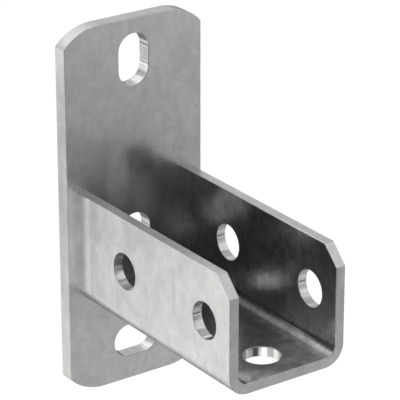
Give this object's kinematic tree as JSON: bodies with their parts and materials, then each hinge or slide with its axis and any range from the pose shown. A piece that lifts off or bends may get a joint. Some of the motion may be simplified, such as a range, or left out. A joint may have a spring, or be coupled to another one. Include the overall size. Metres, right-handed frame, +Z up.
{
  "type": "strut saddle flange",
  "caption": "Steel wall flange for strut channel: a slotted wall plate with a U-shaped saddle standing square on it, drilled so that the strut bolts through its sides or its back.",
  "frame": {"origin": "centre of the round wall bolt hole on the plate's back face, which is on the axis of the strut that the saddle takes", "axes": "+Z up along the wall plate, -Y out from the wall along the saddle, +X across the saddle; the plate's back face is the plane y = 0"},
  "size_m": [0.06, 0.101, 0.145],
  "materials": {
    "zinc_plated_steel": "bright zinc plating over rolled steel sheet, satin, with faint mottling and fine streaks"
  },
  "bodies": {
    "root": {"wall_plate": "zinc_plated_steel", "saddle": "zinc_plated_steel", "web_weld": "zinc_plated_steel"}
  },
  "joints": []
}
